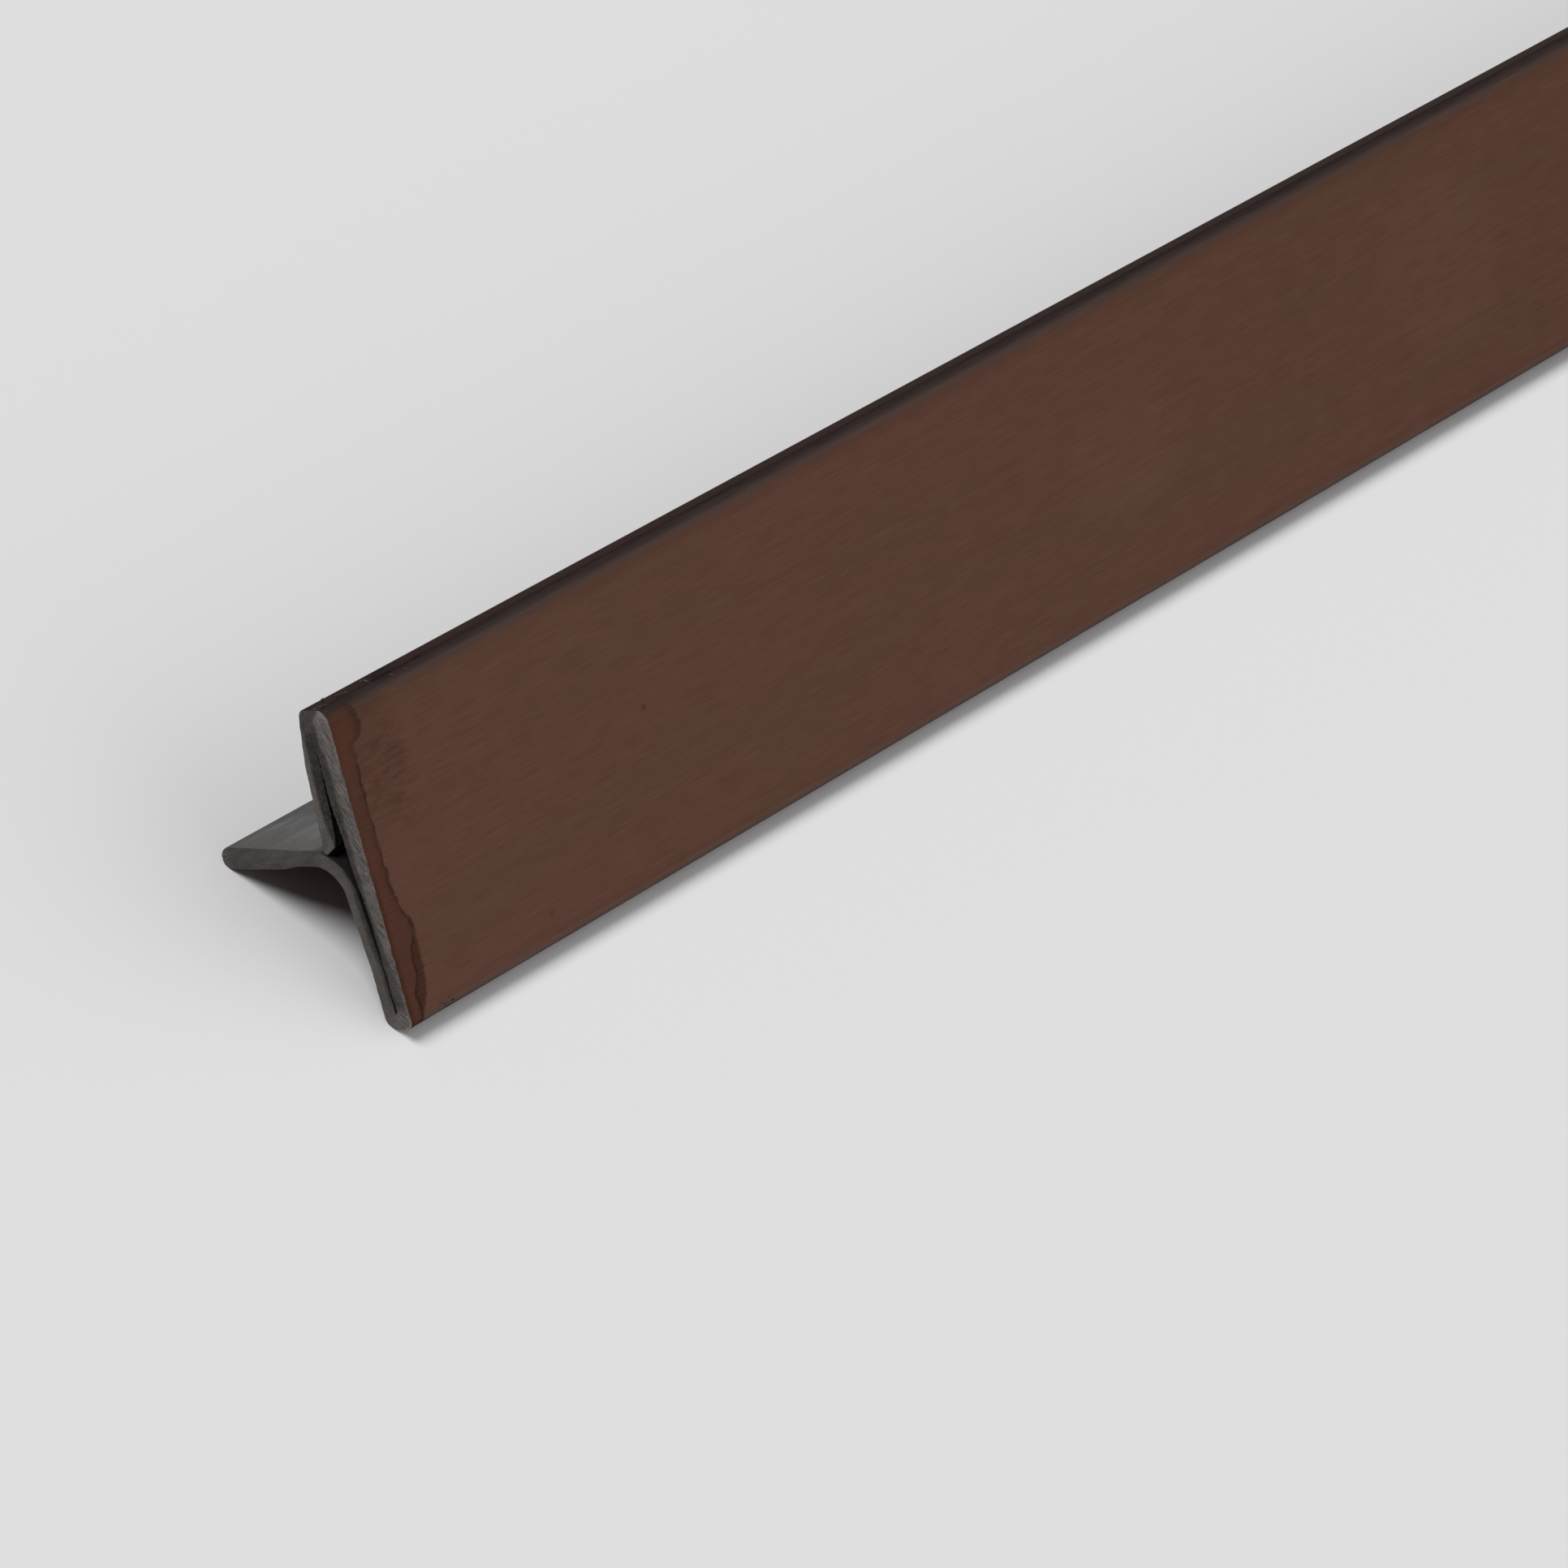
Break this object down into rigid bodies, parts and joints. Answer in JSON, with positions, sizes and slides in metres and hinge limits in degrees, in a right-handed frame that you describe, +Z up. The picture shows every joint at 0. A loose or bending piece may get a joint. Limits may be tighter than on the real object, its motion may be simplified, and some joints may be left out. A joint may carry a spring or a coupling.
{
  "type": "stainless steel t-profile trim",
  "caption": "T-shaped trim folded from one strip of stainless steel, with hemmed edges on its brown brushed face and a short stem that goes into the joint.",
  "frame": {"origin": "middle of the footprint, on the floor that the trim lies on", "axes": "+X along the length, away from the end that the picture shows; +Z up; +Y towards the toe of the stem"},
  "size_m": [1, 0.016, 0.0149],
  "materials": {
    "coated_steel": "brown-bronze coat over a hairline brushed face; bare steel on the inner side and the cut ends"
  },
  "bodies": {
    "root": {"t_profile_strip": "coated_steel"}
  },
  "joints": []
}
